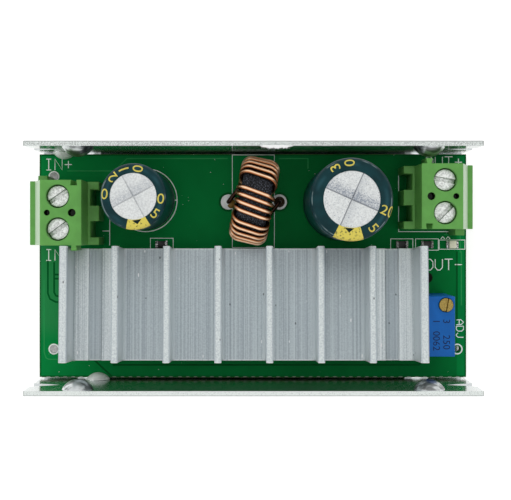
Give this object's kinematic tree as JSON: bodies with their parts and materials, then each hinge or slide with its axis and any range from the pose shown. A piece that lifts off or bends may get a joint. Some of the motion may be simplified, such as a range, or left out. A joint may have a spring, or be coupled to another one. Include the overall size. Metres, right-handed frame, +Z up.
{
  "type": "boost converter module",
  "caption": "Open boost converter module: a folded sheet tray carries a circuit board with screw terminals, capacitors, a toroidal inductor, a trimmer and a finned heat sink.",
  "frame": {"origin": "middle of the tray's underside", "axes": "+X from the input to the output terminals, +Y from the heat sink to the inductor, +Z up"},
  "size_m": [0.0712, 0.0396, 0.0262],
  "materials": {
    "sheet_aluminium": "bright rolled sheet, sheared edges",
    "board_green": "green solder mask over glass laminate",
    "extruded_aluminium": "satin, fine lines along the extrusion",
    "thermal_tape": "soft matte pad",
    "moulding_black": "fine matte moulding compound",
    "tinned_copper": "bright tin plating",
    "terminal_green": "smooth moulding",
    "plated_steel": "zinc plated, stamped slot",
    "can_aluminium": "satin, pressed vent cross",
    "sleeve_navy": "shrunk film sleeve",
    "seal_rubber": "matte",
    "core_black": "coated powder core",
    "copper_wire": "clear enamel over bright copper",
    "trimmer_blue": "smooth moulding",
    "trimmer_brass": "turned brass",
    "lamp_white": "clear lens on a white base",
    "chip_black": "glazed ceramic with tinned ends",
    "chip_tan": "ceramic with tinned ends",
    "solder": "bright solder"
  },
  "bodies": {
    "module": {"tray": "sheet_aluminium", "circuit_board": "board_green", "heatsink": "extruded_aluminium", "switch_tape": "thermal_tape", "diode_tape": "thermal_tape", "switch_body": "moulding_black", "diode_body": "moulding_black", "controller_body": "moulding_black", "switch_leadframe": "tinned_copper", "diode_leadframe": "tinned_copper", "controller_leads": "tinned_copper", "input_block": "terminal_green", "output_block": "terminal_green", "input_block_bars": "tinned_copper", "output_block_bars": "tinned_copper", "input_capacitor_can": "can_aluminium", "output_capacitor_can": "can_aluminium", "input_capacitor_sleeve": "sleeve_navy", "output_capacitor_sleeve": "sleeve_navy", "input_capacitor_seal": "seal_rubber", "output_capacitor_seal": "seal_rubber", "input_capacitor_leads": "tinned_copper", "output_capacitor_leads": "tinned_copper", "inductor_core": "core_black", "inductor_winding": "copper_wire", "trimmer_housing": "trimmer_blue", "trimmer_pins": "tinned_copper", "status_lamp": "lamp_white", "lamp_resistor": "chip_black", "feedback_resistor": "chip_black", "bypass_capacitor": "chip_tan", "solder_joints": "solder"},
    "trimmer_screw": {"trimmer_screw": "trimmer_brass"},
    "input_plus_screw": {"input_plus_screw": "plated_steel"},
    "input_plus_cage": {"input_plus_cage": "plated_steel"},
    "input_minus_screw": {"input_minus_screw": "plated_steel"},
    "input_minus_cage": {"input_minus_cage": "plated_steel"},
    "output_plus_screw": {"output_plus_screw": "plated_steel"},
    "output_plus_cage": {"output_plus_cage": "plated_steel"},
    "output_minus_screw": {"output_minus_screw": "plated_steel"},
    "output_minus_cage": {"output_minus_cage": "plated_steel"}
  },
  "joints": [
    {"name": "trimmer_turn", "type": "hinge", "parent": "module", "child": "trimmer_screw", "pos_m": [0.03048, -0.0059, 0.01568], "axis": [0, 0, -1], "continuous": true},
    {"name": "input_plus_turn", "type": "hinge", "parent": "module", "child": "input_plus_screw", "pos_m": [-0.0303, 0.01117, 0.01878], "axis": [0, 0, -1], "range_deg": [0, 1980]},
    {"name": "input_plus_lift", "type": "slide", "parent": "module", "child": "input_plus_cage", "axis": [0, 0, 1], "range_m": [0, 0.00248]},
    {"name": "input_minus_turn", "type": "hinge", "parent": "module", "child": "input_minus_screw", "pos_m": [-0.0303, 0.00609, 0.01878], "axis": [0, 0, -1], "range_deg": [0, 1980]},
    {"name": "input_minus_lift", "type": "slide", "parent": "module", "child": "input_minus_cage", "axis": [0, 0, 1], "range_m": [0, 0.00248]},
    {"name": "output_plus_turn", "type": "hinge", "parent": "module", "child": "output_plus_screw", "pos_m": [0.0297, 0.01372, 0.01878], "axis": [0, 0, -1], "range_deg": [0, 1980]},
    {"name": "output_plus_lift", "type": "slide", "parent": "module", "child": "output_plus_cage", "axis": [0, 0, 1], "range_m": [0, 0.00248]},
    {"name": "output_minus_turn", "type": "hinge", "parent": "module", "child": "output_minus_screw", "pos_m": [0.0297, 0.00864, 0.01878], "axis": [0, 0, -1], "range_deg": [0, 1980]},
    {"name": "output_minus_lift", "type": "slide", "parent": "module", "child": "output_minus_cage", "axis": [0, 0, 1], "range_m": [0, 0.00248]}
  ],
  "couplings": [
    {"joint": "input_plus_turn", "follows": "input_plus_lift", "rad_per_m": 13963},
    {"joint": "input_minus_turn", "follows": "input_minus_lift", "rad_per_m": 13963},
    {"joint": "output_plus_turn", "follows": "output_plus_lift", "rad_per_m": 13963},
    {"joint": "output_minus_turn", "follows": "output_minus_lift", "rad_per_m": 13963}
  ]
}
